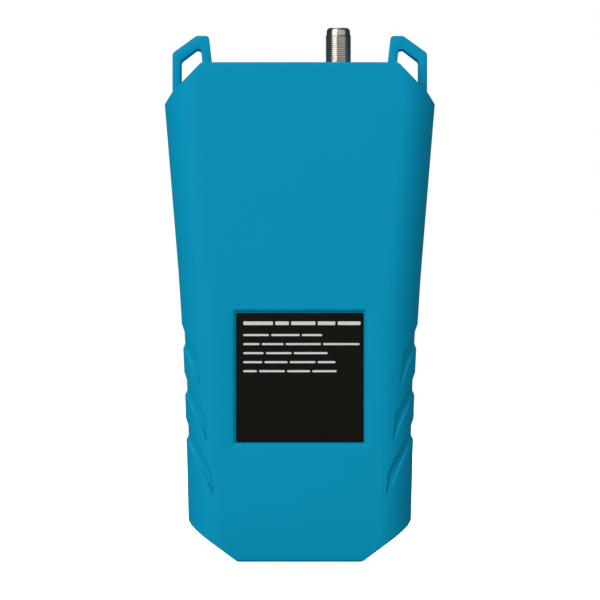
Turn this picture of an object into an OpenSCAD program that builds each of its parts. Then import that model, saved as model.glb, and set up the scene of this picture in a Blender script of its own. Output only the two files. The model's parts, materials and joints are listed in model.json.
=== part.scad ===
// Handheld signal meter, standing on its base: X across, Y from the back to the screen, Z up.
// The origin is the centre of the base.

/* [Case outline] */
// Height of the case from its base to its top edge
body_h = 186; // [184:1:192]
// Greatest width, across the shoulders of the head
head_w = 101; // [98:0.5:104]
// Width of the flat top edge
top_w = 73; // [72:0.5:76]
// Height of the corner slopes between the shoulders and the top edge
shoulder_h = 15.5; // [14.5:0.5:16.5]
// Width of the grip where its sides bend
grip_w = 86; // [84:0.5:88]
// Height of that bend above the base
knee_z = 72.5; // [68:0.5:78]
// Width of the grip just above the base corners
low_w = 83; // [81.5:0.5:83.5]
// Height of the base corners
base_corner_h = 15; // [14:0.5:17]
// Width at the bend in the base corners
base_mid_w = 70.6; // [69:0.2:72]
// Height of the bend in the base corners
base_mid_h = 9; // [8:0.5:10]
// Width of the flat base
base_w = 47; // [44:0.5:50]

/* [Case depth] */
// Depth of the closed case
depth = 44; // [44:0.5:47]
// Depth of the rear shell, from the back to the parting plane
rear_depth = 27; // [26:0.5:27]
// Radius of the rear edge along the sides
side_r = 12.5; // [11:0.5:13]
// Radius of the front edge
front_r = 4; // [3:0.5:5]
// How far the back leans forward at the base
base_lean = 1.8; // [0.5:0.1:2.5]
// Bevel around the base and the top edge
edge_break = 1.2; // [0.8:0.1:1.6]
// Thickness of the case walls
wall = 2.6; // [2.4:0.1:2.8]

/* [Strap eyes] */
// Height of an eye above the top edge
eye_h = 10.6; // [9:0.1:12]
// How far the eyes lie in from the widest part of the head
eye_set = 2.7; // [2.2:0.1:3.8]
// Width of the struts beside an eye's hole
eye_strut = 3.1; // [2.8:0.1:3.6]
// Width of the band over an eye's hole
eye_band = 5.1; // [4:0.1:5.6]
// Depth of the eye plate
eye_t = 6; // [4:0.5:8]

/* [Grip scallops] */
// Depth of a scallop
scallop_d = 1; // [0.6:0.1:1.2]
// Height of the top scallop's lower end at the side
scallop_z = 78.4; // [76:0.2:80]
// Height of a scallop's opening at the side
scallop_h = 8; // [6:0.2:9]
// Distance between scallops along the side
scallop_pitch = 16.7; // [16:0.1:17]
// Height of the top scallop's inner tip
tip_z = 65.4; // [64:0.2:68]
// Distance between the inner tips
tip_pitch = 20.6; // [20:0.1:21.5]
// How far in from the side the top tip lies
tip_in = 5.2; // [3.5:0.1:6.5]
// How much further in each lower tip lies
tip_grow = 2.2; // [1.5:0.1:2.5]
// Height of a scallop's inner edge
tip_h = 9.6; // [7:0.1:11]
// How far the scallops run into the front half
scallop_run = 16; // [6:0.5:18]

/* [Label] */
// Width of the rating label
label_w = 47.4; // [40:0.2:48]
// Height of the rating label
label_h = 48.2; // [40:0.2:49]
// Thickness of the label
label_t = 0.4; // [0.2:0.1:0.6]
// Height of the label's middle above the base
label_z = 68.6; // [66:0.2:71]
// Depth of the recess that holds it
recess_d = 1.1; // [0.8:0.1:1.2]
// Width of the recess's sloped rim
recess_rim = 1.4; // [1:0.1:1.8]

/* [Antenna socket] */
// Outer diameter of the socket's thread
thread_d = 9.525; // [9.4:0.025:9.6]
// Distance of the socket from the middle
socket_x = 14.5; // [13.5:0.5:16]
// Height of the socket above the top edge
socket_h = 13.7; // [11:0.1:15]
// Height of its plain nose
nose_h = 2.6; // [2:0.1:3.4]

/* [Front] */
// Width of the raised rim around the front
rim_w = 4.6; // [4.2:0.1:5.2]
// Height of the rim over the overlay
rim_h = 1.6; // [1.6:0.1:2]
// Thickness of the overlay sheet
overlay_t = 0.5; // [0.3:0.1:0.6]
// Width of the display window
window_w = 71; // [66:0.5:72]
// Height of the display window
window_h = 54; // [50:0.5:55]
// Distance of the display's middle below the top edge
display_drop = 50; // [49.5:0.5:51]

/* [Keys] */
// Height of a key over the overlay
key_proud = 1.4; // [1:0.1:1.5]
// Travel of a key
key_travel = 0.8; // [0.5:0.1:0.9]
// Clearance around a key in its opening
key_gap = 0.3; // [0.2:0.05:0.4]
// Distance between the digit rows
row_pitch = 9.5; // [9.2:0.1:9.7]
// Distance between the digit columns
col_pitch = 18.5; // [17:0.5:19]

/* [Switch] */
// Travel of the power switch
switch_travel = 4.2; // [3:0.2:4.4]

/* [Hidden] */
$fn = 48;
blue = [0, 0.55, 0.7];
key_grey = [0.62, 0.64, 0.66];
key_blue = [0.1, 0.4, 0.6];
nickel = [0.78, 0.77, 0.74];
board_green = [0.05, 0.32, 0.2];
chip_black = [0.1, 0.1, 0.11];

// Planes from the back to the front
back_y = -depth / 2;
front_y = depth / 2;
part_y = back_y + rear_depth;
back_in = back_y + wall;
face_y = front_y - rim_h;
floor_y = face_y - overlay_t;
in_y = floor_y - 2.5;
gasket_t = 0.5;
panel_t = 1.9;
backlight_t = 1.4;
board_t = 1.6;
panel_y = in_y - gasket_t;
backlight_y = panel_y - panel_t;
board_front = backlight_y - backlight_t - 0.4;
board_back = board_front - board_t;

// Outline of the right half, from the base to the top: half width, height
shoulder_z = body_h - shoulder_h;
top_in = body_h - wall;
edge_pts = [
    [base_w / 2, 0],
    [base_mid_w / 2, base_mid_h],
    [low_w / 2, base_corner_h],
    [grip_w / 2, knee_z],
    [head_w / 2, shoulder_z],
    [top_w / 2, body_h]
];
edge_n = len(edge_pts);
arc_steps = 7;

// Parts of each edge of the outline, more of them along the corner slopes
edge_parts = [2, 3, 1, 1, 4];

// Corner b between its neighbours a and c, after both edges move inward by d
function corner(a, b, c, d) =
    let (u = (b - a) / norm(b - a), v = (c - b) / norm(c - b))
    b + d * [-u[1] - v[1], u[0] + v[0]] / (1 + u * v);

function flip(p) = [-p[0], p[1]];

// The right half of the outline, moved inward by d
function outline(d) =
    let (ring = concat([flip(edge_pts[0])], edge_pts, [flip(edge_pts[edge_n - 1])]))
    [for (i = [1 : edge_n]) corner(ring[i - 1], ring[i], ring[i + 1], d)];

// The whole outline, moved inward by d
function full_outline(d) =
    let (half = outline(d))
    concat(half, [for (i = [edge_n - 1 : -1 : 0]) flip(half[i])]);

// Half width of the outline at a height
function half_w(z, d = 0) = lookup(z, [for (p = outline(d)) [p[1], p[0]]]);

// The right half of the outline with its edges in parts
function fine_outline(d) =
    let (half = outline(d))
    concat(
        [for (i = [0 : edge_n - 2], k = [0 : edge_parts[i] - 1])
            half[i] + (half[i + 1] - half[i]) * k / edge_parts[i]],
        [half[edge_n - 1]]
    );

// Half width at a height of the sides alone, as if they ran past the corner slopes
function flank_w(z, d = 0) =
    let (half = outline(d))
    lookup(z, [for (i = [2 : 4]) [half[i][1], half[i][0]]]);

// Forward lean of the back at a height
function lean(z) = lookup(z, [[0, base_lean], [base_corner_h, 0]]);

// Section across the case: from the open side at y = part around the far edge at y = far.
// The far edge is rounded for sides at half width flank, and a corner slope cuts it off at half width w.
function section(w, z, part, far, r, flank) =
    let (
        mid = flank - r,
        x0 = min(mid, w - r / 2),
        turn = asin(min(1, (w - x0) / r)),
        right = [for (i = [arc_steps : -1 : 0])
            let (x = x0 + r * sin(turn * i / arc_steps), past = max(0, x - mid))
            [x, far + r - sqrt(max(0, r * r - past * past)), z]]
    )
    concat(
        [[w, part, z]],
        right,
        [for (i = [arc_steps : -1 : 0]) [-right[i][0], right[i][1], z]],
        [[-w, part, z]]
    );

// Rear sections at distance d inside the outer surface, reaching y = part
function rear_sections(d, part) = [
    for (p = fine_outline(d))
        section(p[0], p[1], part, back_y + lean(p[1]) + d, side_r - d, flank_w(p[1], d))
];

// Rear sections of the outer surface, with the bevels around the base and the top
function rear_outer() =
    let (s = rear_sections(0, part_y), e = edge_break)
    concat(
        [section(base_w / 2 - e / 2, 0, part_y, back_y + lean(0) + e, side_r, flank_w(0))],
        [section(half_w(e), e, part_y, back_y + lean(e), side_r, flank_w(e))],
        [for (i = [1 : len(s) - 2]) s[i]],
        [section(half_w(body_h - e), body_h - e, part_y, back_y, side_r, flank_w(body_h))],
        [section(top_w / 2 - e / 2, body_h, part_y, back_y + e, side_r, flank_w(body_h))]
    );

// Front sections, written for the mirrored case
function front_sections(d, part) = [
    for (p = outline(d)) section(p[0], p[1], part, -front_y + d, max(front_r - d, 1), p[0])
];

function front_outer() =
    let (s = front_sections(0, -part_y), e = edge_break)
    concat(
        [section(base_w / 2 - e / 2, 0, -part_y, -front_y + e, front_r, base_w / 2 - e / 2)],
        [section(half_w(e), e, -part_y, -front_y, front_r, half_w(e))],
        [for (i = [1 : edge_n - 2]) s[i]],
        [section(half_w(body_h - e), body_h - e, -part_y, -front_y, front_r, half_w(body_h - e))],
        [section(top_w / 2 - e / 2, body_h, -part_y, -front_y + e, front_r, top_w / 2 - e / 2)]
    );

// Solid through a stack of sections
module loft(sections) {
    n = len(sections[0]);
    last = len(sections) - 1;
    sides = [
        for (i = [0 : last - 1], j = [0 : n - 1], half = [0, 1])
        let (k = (j + 1) % n, a = i * n, b = a + n)
        half == 0 ? [a + j, a + k, b + k] : [a + j, b + k, b + j]
    ];
    bottom = [for (j = [n - 1 : -1 : 0]) j];
    top = [for (j = [0 : n - 1]) last * n + j];
    polyhedron([for (s = sections) each s], concat(sides, [bottom, top]));
}

// Flat shape in X and Z, from y0 to y1
module slice(y0, y1) {
    translate([0, y1, 0]) rotate([90, 0, 0]) linear_extrude(y1 - y0) children();
}

module block(x, z, w, h, y0, y1) {
    translate([x - w / 2, y0, z - h / 2]) cube([w, y1 - y0, h]);
}

module rod(x, z, d, y0, y1) {
    translate([x, y0, z]) rotate([-90, 0, 0]) cylinder(h = y1 - y0, d = d);
}

module upright(x, y, d, z0, z1) {
    translate([x, y, z0]) cylinder(h = z1 - z0, d = d);
}

module rounded(w, h, r) {
    square([w - 2 * r, h], center = true);
    square([w, h - 2 * r], center = true);
    for (x = [-1, 1], y = [-1, 1]) {
        translate([x * (w / 2 - r), y * (h / 2 - r)]) circle(r);
    }
}

module tile(x, z, w, h, r, y0, y1) {
    slice(y0, y1) translate([x, z]) rounded(w, h, r);
}

module pair() {
    children();
    mirror([1, 0, 0]) children();
}

// Case screws: three on each side, from the front into the rear posts
screw_d = 3;
screw_l = 20;
head_d = 5.6;
head_h = 1.9;
cross_w = 3;
cross_t = 0.9;
post_d = 7;
head_y = floor_y - 0.1;
post_low = 23;
post_mid_drop = 37;
post_top_drop = 10;
post_zs = [post_low, body_h - display_drop - post_mid_drop, body_h - post_top_drop];
posts = [for (z = post_zs) [half_w(z, rim_w + head_d / 2 + 0.8), z]];

// Board and its screws, on short bosses behind the front wall
board_w = 64;
board_screw_d = 2.5;
board_head_d = 4.6;
board_head_h = 1.7;
board_cross_w = 2.4;
board_cross_t = 0.8;
boss_d = 5.5;
display_z = body_h - display_drop;
boss_top = [28, top_in - 10.8];
boss_mid = [22, display_z - 36];
boss_low = [29.5, 40];
bosses = [boss_top, boss_mid, boss_low];

// Display stack
panel_w = 76.9;
panel_h = 63.9;
lens_w = window_w + 5;
lens_h = window_h + 7;
lens_t = 1.5;
lens_gap = 0.2;
lens_r = 2.5;

// Key openings: middle, width, height; seen from the front, +X is on the left
f_row_drop = 44.2;
nav_drop = 21.4;
digit_drop = 23;
f_row_z = display_z - f_row_drop;
nav_z = f_row_z - nav_drop;
digit_z = nav_z - digit_drop;
key_w = 13;
key_h = 6.3;
key_r = 1.6;
arm = 12;
arrow_w = 12;
arrow_h = 7.4;
side_w = 10;
ok_d = 11;
key_lip = 1;
lip_t = 1;
lip_gap = 0.1;
lip_y = in_y - lip_gap - lip_t;
key_top = face_y + key_proud;
f_pitch = 17;
f_keys = [for (i = [0 : 3]) [(1.5 - i) * f_pitch, f_row_z, key_w, key_h]];
arrow_keys = [
    [0, nav_z + arm, arrow_w, arrow_h],
    [0, nav_z - arm, arrow_w, arrow_h],
    [arm, nav_z, arrow_h, arrow_w],
    [-arm, nav_z, arrow_h, arrow_w]
];
side_z = nav_z + 7;
side_x = half_w(side_z, rim_w) - 9.6;
side_keys = [[side_x, side_z, side_w, key_h], [-side_x, side_z, side_w, key_h]];
function digit_key(col, row) = [-col * col_pitch, digit_z - row * row_pitch, key_w, key_h];
digit_keys = [for (row = [0 : 3], col = [-1 : 1]) digit_key(col, row)];
square_keys = concat(f_keys, arrow_keys, side_keys, digit_keys);

// Indicator lights in a row under the display
pipe_d = 3;
pipe_pitch = 9;
pipe_xs = [for (i = [0 : 3]) (i - 1.5) * pipe_pitch];
pipe_z = display_z - 36;
led_t = 0.8;

// Top wall: charging jack and power switch beside the socket, all on the parting plane
jack_x = -6;
jack_w = 9;
jack_half = 5.5;
jack_l = 14;
jack_bore = 6.4;
jack_bore_l = 9.5;
jack_hole = 8.4;
jack_pin_d = 2.05;
switch_x = -21;
knob_w = 4;
knob_t = 3;
switch_gap = 0.25;
slide_w = knob_w + switch_travel + 2 * switch_gap;
foot_w = 6;
foot_t = 4.4;
foot_h = 1.2;
foot_z = top_in - 4;
track_w = foot_w + switch_travel + 2 * switch_gap;
socket_hole = thread_d + 0.7;
can_top = top_in - 5.4;
can_w = 21.6;
can_l = 44;
can_y = part_y - 6.6;

// Battery pack against the back wall
cell_d = 18.4;
cell_l = 65;
cell_gap = 0.1;
wrap_t = 0.3;
pad_t = 1;
pad_w = 20;
pad_h = 56;
rib_t = 1.6;
rib_l = 50;
rib_gap = 0.3;
cell_z = 23;
cell_x = cell_d / 2 + 0.2;
cell_y = back_in + pad_t + wrap_t + cell_gap + cell_d / 2;
wrap_half = cell_x + cell_d / 2 + cell_gap + wrap_t;

// Height of the corner slope at a distance from the middle
function slope_z(x) = lookup(x, [[top_w / 2, body_h], [head_w / 2, shoulder_z]]);

// Sizes of the eye in X and Z, on the right, rooted in the corner slope
eye_root = 2;
eye_top = body_h + eye_h;
eye_out = head_w / 2 - eye_set;
eye_in = top_w / 2 - 3.75;
eye_slope = 6.5;
eye_pts = [
    [eye_out, slope_z(eye_out) - eye_root],
    [eye_out, eye_top - eye_slope],
    [eye_in + 6.05, eye_top],
    [eye_in + 2.35, eye_top],
    [eye_in + 1.3, eye_top - 1.2],
    [eye_in, body_h - eye_root]
];
hole_out = eye_out - eye_strut;
hole_in = eye_in + eye_strut + 0.8;
hole_top = eye_top - eye_band;
hole_pts = [
    [hole_out, slope_z(hole_out) - eye_root / 2],
    [hole_out, hole_top - 4.5],
    [hole_in + 1.8, hole_top],
    [hole_in + 0.7, hole_top - 0.2],
    [hole_in + 0.2, hole_top - 1.1],
    [hole_in - 0.3, body_h - eye_root]
];

// One scallop's outline in X and Z on the right, running out past the side
function scallop(i) =
    let (
        low = scallop_z - scallop_pitch * i,
        high = low + scallop_h,
        x = half_w(low) - 0.3,
        out = x + 9,
        tip = tip_z - tip_pitch * i,
        knee = tip + tip_h,
        deep = tip_in + tip_grow * i
    )
    [
        [half_w(tip) - deep, tip],
        [x, low],
        [out, low],
        [out, high],
        [x, high],
        [half_w(knee) - deep + 0.7, knee]
    ];

module scallops(y0, y1) {
    pair() {
        for (i = [0 : 2]) {
            slice(y0, y1) polygon(scallop(i));
        }
    }
}

module label_recess() {
    hull() {
        block(0, label_z, label_w + 0.3, label_h + 0.3, back_y, back_y + recess_d);
        block(0, label_z, label_w + 2 * recess_rim, label_h + 2 * recess_rim, back_y - 0.4, back_y);
    }
}

// Openings through the top wall, shared by both shells
module top_openings() {
    upright(socket_x, part_y, socket_hole, top_in - 1, body_h + 1);
    upright(jack_x, part_y, jack_hole, top_in - 1, body_h + 1);
    translate([switch_x - slide_w / 2, part_y - knob_t / 2 - switch_gap, top_in - 1]) {
        cube([slide_w, knob_t + 2 * switch_gap, wall + 2]);
    }
}

module battery_ribs() {
    place = rib_gap + rib_t / 2;
    foot = back_in - 0.5;
    pair() block(wrap_half + place, cell_z + cell_l / 2, rib_t, rib_l, foot, cell_y);
    block(0, cell_z - place, 2 * pad_w, rib_t, foot, cell_y);
    pair() block(cell_x + cell_d / 4, cell_z + cell_l + place, 6, rib_t, foot, back_in + 5.5);
}

module rear_shell() {
    color(blue) difference() {
        union() {
            difference() {
                union() {
                    loft(rear_outer());
                    pair() slice(part_y - eye_t, part_y) difference() {
                        polygon(eye_pts);
                        polygon(hole_pts);
                    }
                }
                intersection() {
                    loft(rear_sections(wall, part_y + 1));
                    translate([-head_w, back_y, 0]) cube([2 * head_w, depth, body_h]);
                }
                difference() {
                    scallops(back_y - 1, part_y + 1);
                    loft(rear_sections(scallop_d, part_y + 2));
                }
                label_recess();
            }
            intersection() {
                pair() for (p = posts) rod(p[0], p[1], post_d, back_y, part_y);
                loft(rear_sections(wall / 2, part_y));
            }
            battery_ribs();
        }
        pair() for (p = posts) rod(p[0], p[1], screw_d + 0.1, part_y - 11, part_y + 1);
        top_openings();
    }
}

module front_body() {
    mirror([0, 1, 0]) difference() {
        loft(front_outer());
        loft([for (p = outline(wall)) section(p[0], p[1], 1 - part_y, -in_y, 1, p[0])]);
    }
}

module key_openings(y0, y1) {
    for (k = square_keys) tile(k[0], k[1], k[2], k[3], key_r, y0, y1);
    rod(0, nav_z, ok_d, y0, y1);
    for (x = pipe_xs) rod(x, pipe_z, pipe_d + 0.2, y0, y1);
}

module lens_opening(y0, y1) {
    tile(0, display_z, lens_w + 2 * lens_gap, lens_h + 2 * lens_gap, lens_r, y0, y1);
}

module front_shell() {
    color(blue) difference() {
        union() {
            difference() {
                front_body();
                slice(floor_y, front_y + 1) polygon(full_outline(rim_w));
                lens_opening(face_y - lens_t, front_y);
                block(0, display_z, window_w, window_h, in_y - 1, front_y);
                difference() {
                    scallops(part_y - 1, part_y + scallop_run);
                    slice(part_y - 2, front_y) polygon(full_outline(scallop_d));
                }
            }
            pair() for (p = posts) rod(p[0], p[1], post_d, part_y + 0.2, in_y + 1);
            pair() for (p = bosses) rod(p[0], p[1], boss_d, board_front, in_y + 1);
        }
        key_openings(in_y - 1, front_y);
        pair() for (p = posts) rod(p[0], p[1], screw_d + 0.4, part_y - 1, front_y);
        pair() for (p = posts) rod(p[0], p[1], head_d + 0.4, head_y - head_h, front_y);
        pair() for (p = bosses) rod(p[0], p[1], board_screw_d + 0.1, board_front - 1, in_y);
        top_openings();
    }
}

module rating_label() {
    color([0.08, 0.08, 0.07]) {
        block(0, label_z, label_w, label_h, back_y + recess_d - label_t, back_y + recess_d);
    }
}

module case_screws() {
    color(nickel) pair() for (p = posts) {
        difference() {
            union() {
                rod(p[0], p[1], head_d, head_y - head_h, head_y);
                rod(p[0], p[1], screw_d, head_y - head_h - screw_l, head_y - head_h);
            }
            block(p[0], p[1], cross_w, cross_t, head_y - head_h / 2, head_y + 1);
            block(p[0], p[1], cross_t, cross_w, head_y - head_h / 2, head_y + 1);
        }
    }
}

module front_overlay() {
    color([0.24, 0.25, 0.27]) difference() {
        slice(floor_y, face_y) polygon(full_outline(rim_w + 0.2));
        lens_opening(floor_y - 1, face_y + 1);
        key_openings(floor_y - 1, face_y + 1);
    }
}

module display_lens() {
    color([0.03, 0.03, 0.04]) tile(0, display_z, lens_w, lens_h, lens_r, face_y - lens_t, face_y);
}

module display_gasket() {
    color([0.05, 0.05, 0.05]) difference() {
        block(0, display_z, panel_w, panel_h, panel_y, in_y);
        block(0, display_z, window_w + 1, window_h + 1, panel_y - 1, in_y + 1);
    }
}

module display_panel() {
    color([0.1, 0.12, 0.14]) block(0, display_z, panel_w, panel_h, backlight_y, panel_y);
}

module display_backlight() {
    color([0.85, 0.85, 0.85]) {
        block(0, display_z, panel_w, panel_h, backlight_y - backlight_t, backlight_y);
    }
}

module display_connector() {
    color([0.9, 0.88, 0.8]) {
        block(-4, display_z + panel_h / 2 + 4.6, 26, 4, board_front, board_front + 1.5);
    }
}

module display_cable() {
    color([0.7, 0.45, 0.1]) {
        block(-4, display_z + panel_h / 2 + 3.3, 22, 6.4, board_front + 1.5, board_front + 1.8);
    }
}

module main_board() {
    low = post_zs[0] - 10;
    mid = low + 20;
    high = display_z + panel_h / 2;
    board_top = can_top - 0.4;
    color(board_green) difference() {
        union() {
            block(0, (low + mid) / 2, 2 * col_pitch + key_w + 4, mid - low, board_back, board_front);
            block(0, (mid + high) / 2, board_w, high - mid, board_back, board_front);
            block(0, (high + board_top) / 2, board_w - 4, board_top - high, board_back, board_front);
        }
        pair() for (p = bosses) rod(p[0], p[1], board_screw_d + 0.4, board_back - 1, board_front + 1);
    }
}

module board_screws() {
    color(nickel) pair() for (p = bosses) {
        difference() {
            union() {
                rod(p[0], p[1], board_head_d, board_back - board_head_h, board_back);
                rod(p[0], p[1], board_screw_d, board_back, in_y - 0.5);
            }
            low = board_back - 2 * board_head_h;
            high = board_back - board_head_h / 2;
            block(p[0], p[1], board_cross_w, board_cross_t, low, high);
            block(p[0], p[1], board_cross_t, board_cross_w, low, high);
        }
    }
}

module processor_chip() {
    color(chip_black) block(-14, display_z - 14, 17, 17, board_back - 1.4, board_back);
}

module memory_chips() {
    color(chip_black) for (x = [-8, 4]) {
        block(x, display_z - 31, 8, 11, board_back - 1.2, board_back);
    }
}

module power_inductors() {
    color([0.3, 0.3, 0.32]) for (z = [6, 15, 24]) {
        block(-25, display_z + z, 7, 7, board_back - 4, board_back);
    }
}

module board_capacitors() {
    color([0.75, 0.76, 0.78]) for (z = [3, 11, 19]) {
        rod(-12, display_z + z, 6.3, board_back - 7, board_back);
    }
}

module buzzer() {
    color(chip_black) difference() {
        rod(20, display_z - 22, 12, board_back - 8.5, board_back);
        rod(20, display_z - 22, 2, board_back - 9, board_back - 7);
    }
}

module tuner_can() {
    color([0.8, 0.8, 0.78]) difference() {
        block(socket_x, can_top - can_l / 2, can_w, can_l, can_y + 0.3, board_back);
        block(socket_x, can_top - can_l / 2, can_w - 0.8, can_l - 0.8, can_y - 1, board_back - 0.4);
    }
}

module tuner_lid() {
    color([0.85, 0.85, 0.83]) {
        block(socket_x, can_top - can_l / 2, can_w + 0.6, can_l, can_y, can_y + 0.3);
    }
}

module antenna_socket() {
    top = body_h + socket_h;
    color(nickel) difference() {
        union() {
            upright(socket_x, part_y, 11, can_top, can_top + 2);
            upright(socket_x, part_y, 9, can_top + 1, body_h + 1);
            upright(socket_x, part_y, thread_d, body_h + 0.2, top - nose_h);
            upright(socket_x, part_y, 8.7, top - nose_h - 1, top - 0.8);
            translate([socket_x, part_y, top - 0.8]) cylinder(h = 0.8, d1 = 8.7, d2 = 7.5);
        }
        upright(socket_x, part_y, 6.4, can_top - 1, top + 1);
    }
}

module socket_insulator() {
    color([0.93, 0.92, 0.88]) difference() {
        upright(socket_x, part_y, 6.3, can_top + 0.2, body_h + socket_h - 0.9);
        upright(socket_x, part_y, 1.8, can_top - 1, body_h + socket_h);
    }
}

module socket_contact() {
    color([0.85, 0.7, 0.35]) difference() {
        upright(socket_x, part_y, 1.7, can_top + 0.2, body_h + socket_h - 1.6);
        upright(socket_x, part_y, 1.1, body_h, body_h + socket_h);
    }
}

module power_jack() {
    top = top_in - 0.2;
    color(chip_black) difference() {
        block(jack_x, top - jack_l / 2, jack_w, jack_l, part_y - jack_half, board_back);
        upright(jack_x, part_y, jack_bore, top - jack_bore_l, top + 1);
    }
}

module jack_pin() {
    bottom = top_in - 0.2 - jack_bore_l;
    color(nickel) upright(jack_x, part_y, jack_pin_d, bottom, bottom + 8.5);
}

module switch_body() {
    color([0.5, 0.51, 0.52]) difference() {
        translate([switch_x - 6.4, part_y - 3.8, top_in - 8]) {
            cube([12.8, board_back - part_y + 3.8, 7.7]);
        }
        translate([switch_x - track_w / 2, part_y - foot_t / 2 - switch_gap, foot_z - 0.1]) {
            cube([track_w, foot_t + 2 * switch_gap, foot_h + 0.3]);
        }
        translate([switch_x - slide_w / 2, part_y - knob_t / 2 - switch_gap, foot_z]) {
            cube([slide_w, knob_t + 2 * switch_gap, 6]);
        }
    }
}

// Drawn switched off, at the left end of its travel
module switch_slider() {
    x = switch_x - switch_travel / 2;
    color([0.85, 0.2, 0.15]) {
        translate([x - foot_w / 2, part_y - foot_t / 2, foot_z]) cube([foot_w, foot_t, foot_h]);
        translate([x - knob_w / 2, part_y - knob_t / 2, foot_z]) {
            cube([knob_w, knob_t, body_h - 0.3 - foot_z]);
        }
        for (i = [-1 : 1]) {
            translate([x + i * 1.2 - 0.3, part_y - knob_t / 2, body_h - 0.4]) cube([0.6, knob_t, 0.3]);
        }
    }
}

module battery_cells() {
    color([0.3, 0.55, 0.35]) pair() {
        upright(cell_x, cell_y, cell_d, cell_z, cell_z + cell_l - 1);
        upright(cell_x, cell_y, 6, cell_z + cell_l - 1.5, cell_z + cell_l);
    }
}

module wrap_solid(r, z0, z1) {
    pair() upright(cell_x, cell_y, 2 * r, z0, z1);
    translate([-cell_x, cell_y - r, z0]) cube([2 * cell_x, 2 * r, z1 - z0]);
}

module battery_wrap() {
    inner = cell_d / 2 + cell_gap;
    color([0.1, 0.3, 0.75]) difference() {
        wrap_solid(inner + wrap_t, cell_z, cell_z + cell_l - 1);
        wrap_solid(inner, cell_z - 1, cell_z + cell_l);
    }
}

module battery_pad() {
    color([0.2, 0.2, 0.2]) block(0, cell_z + cell_l / 2, pad_w, pad_h, back_in, back_in + pad_t);
}

module battery_board() {
    color(board_green) {
        translate([-15, cell_y - 4, cell_z + cell_l]) cube([30, 8, 1.2]);
    }
}

lead_x = -10;
lead_z = cell_z + cell_l + 8;
lead_y = cell_y + 1;
plug_y = board_back - 6;
plug_w = 8;
plug_h = 6;
lead_d = 2.6;

module battery_lead() {
    color([0.15, 0.15, 0.16]) {
        upright(lead_x, lead_y, lead_d, cell_z + cell_l + 1.2, lead_z);
        translate([lead_x, lead_y, lead_z]) sphere(d = lead_d);
        rod(lead_x, lead_z, lead_d, lead_y, plug_y);
    }
}

module battery_socket() {
    color([0.93, 0.92, 0.86]) block(lead_x, lead_z, plug_w, plug_h, plug_y, board_back);
}

module keypad_mat() {
    dome_y = lip_y - key_travel - 0.15;
    sheet_y = board_front + 0.8;
    dome_d = 4.6;
    edge = key_h / 2 + key_lip + 0.45;
    low = digit_z - 3 * row_pitch - edge;
    split = digit_z + edge + 0.9;
    high = f_row_z + edge;
    color([0.35, 0.36, 0.38]) {
        block(0, (low + split) / 2, 2 * col_pitch + key_w + 2, split - low, board_front, sheet_y);
        block(0, (split + high) / 2, board_w - 1, high - split, board_front, sheet_y);
        for (k = square_keys) rod(k[0], k[1], dome_d, sheet_y - 0.2, dome_y);
        rod(0, nav_z, dome_d, sheet_y - 0.2, dome_y);
    }
}

module light_pipes() {
    color([0.85, 0.9, 0.88]) for (x = pipe_xs) {
        rod(x, pipe_z, pipe_d, board_front + led_t + 0.1, face_y);
        rod(x, pipe_z, pipe_d + 1.4, in_y - 0.9, in_y - 0.05);
    }
}

module indicator_leds() {
    color([0.95, 0.93, 0.75]) for (x = pipe_xs) {
        block(x, pipe_z, 2, 1.4, board_front, board_front + led_t);
    }
}

// Key cap with a lip behind the front wall and a bevelled top
module key_cap(k) {
    w = k[2] - 2 * key_gap;
    h = k[3] - 2 * key_gap;
    tile(k[0], k[1], k[2] + 2 * key_lip, k[3] + 2 * key_lip, key_r, lip_y, lip_y + lip_t);
    tile(k[0], k[1], w, h, key_r - key_gap, lip_y, key_top - 0.4);
    tile(k[0], k[1], w - 0.8, h - 0.8, key_r - 0.7, lip_y, key_top);
}

module key_f1() { color(key_blue) key_cap(f_keys[0]); }
module key_f2() { color(key_blue) key_cap(f_keys[1]); }
module key_f3() { color(key_blue) key_cap(f_keys[2]); }
module key_f4() { color(key_blue) key_cap(f_keys[3]); }
module key_up() { color(key_grey) key_cap(arrow_keys[0]); }
module key_down() { color(key_grey) key_cap(arrow_keys[1]); }
module key_left() { color(key_grey) key_cap(arrow_keys[2]); }
module key_right() { color(key_grey) key_cap(arrow_keys[3]); }
module key_menu() { color(key_grey) key_cap(side_keys[0]); }
module key_exit() { color(key_grey) key_cap(side_keys[1]); }
module key_1() { color(key_grey) key_cap(digit_key(-1, 0)); }
module key_2() { color(key_grey) key_cap(digit_key(0, 0)); }
module key_3() { color(key_grey) key_cap(digit_key(1, 0)); }
module key_4() { color(key_grey) key_cap(digit_key(-1, 1)); }
module key_5() { color(key_grey) key_cap(digit_key(0, 1)); }
module key_6() { color(key_grey) key_cap(digit_key(1, 1)); }
module key_7() { color(key_grey) key_cap(digit_key(-1, 2)); }
module key_8() { color(key_grey) key_cap(digit_key(0, 2)); }
module key_9() { color(key_grey) key_cap(digit_key(1, 2)); }
module key_star() { color(key_grey) key_cap(digit_key(-1, 3)); }
module key_0() { color(key_grey) key_cap(digit_key(0, 3)); }
module key_hash() { color(key_grey) key_cap(digit_key(1, 3)); }

module key_ok() {
    color(key_blue) {
        rod(0, nav_z, ok_d + 2 * key_lip, lip_y, lip_y + lip_t);
        rod(0, nav_z, ok_d - 2 * key_gap, lip_y, key_top - 0.4);
        rod(0, nav_z, ok_d - 2 * key_gap - 0.8, lip_y, key_top);
    }
}

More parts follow.
